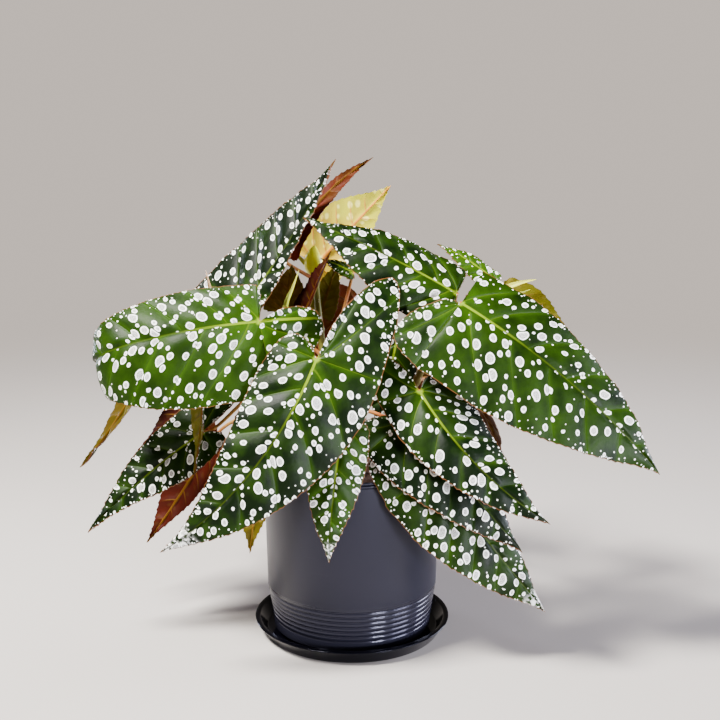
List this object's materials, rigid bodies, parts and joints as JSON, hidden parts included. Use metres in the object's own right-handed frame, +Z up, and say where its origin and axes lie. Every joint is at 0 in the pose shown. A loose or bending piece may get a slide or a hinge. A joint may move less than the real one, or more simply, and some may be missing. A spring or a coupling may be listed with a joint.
{
  "type": "potted cane begonia",
  "caption": "Cane begonia with large lopsided leaves, green with silver spots, on jointed canes in a round plastic pot that stands on its saucer.",
  "frame": {"origin": "the middle of the saucer's flat underside, on the pot's axis", "axes": "+Z is up, along the pot's axis; the plant is widest along X, and its best side, the one the picture shows, faces -Y"},
  "size_m": [0.4714, 0.2684, 0.3973],
  "materials": {
    "leaf_green": "satin deep green leaf with silvery oval spots, red-brown underneath",
    "leaf_pale": "satin pale yellow-green leaf underside",
    "cane": "smooth green-brown cane with swollen joints and reddish leaf stalks",
    "pot_plastic": "satin dark grey moulded plastic",
    "saucer_plastic": "glossy near-black moulded plastic",
    "soil": "rough dark reddish-brown peat"
  },
  "bodies": {
    "root": {"pot": "pot_plastic", "saucer": "saucer_plastic", "soil": "soil", "cane_left": "cane", "cane_middle": "cane", "cane_right": "cane", "cane_front": "cane", "cane_back": "cane", "leaf_front": "leaf_green", "leaf_left": "leaf_green", "leaf_top_left": "leaf_green", "leaf_top_brown": "leaf_green", "leaf_top_pale": "leaf_pale", "leaf_right_high": "leaf_green", "leaf_right": "leaf_green", "leaf_right_small": "leaf_green", "leaf_right_back": "leaf_green", "leaf_front_right": "leaf_green", "leaf_dark_right": "leaf_green", "leaf_low_right": "leaf_green", "leaf_front_low": "leaf_green", "leaf_left_low": "leaf_green", "leaf_left_red": "leaf_green", "leaf_left_hanging": "leaf_green", "leaf_left_edge": "leaf_green", "leaf_low_left": "leaf_green", "leaf_far_left": "leaf_green", "leaf_young": "leaf_green", "leaf_middle_left": "leaf_green", "leaf_middle_right": "leaf_green", "leaf_middle_dark": "leaf_green", "leaf_inner_right": "leaf_green", "leaf_back": "leaf_green", "leaf_back_left": "leaf_green", "leaf_back_right": "leaf_green", "leaf_back_high_left": "leaf_green", "leaf_back_high_right": "leaf_green", "leaf_back_low_left": "leaf_green", "leaf_back_low_right": "leaf_green", "leaf_side_right": "leaf_green"}
  },
  "joints": []
}
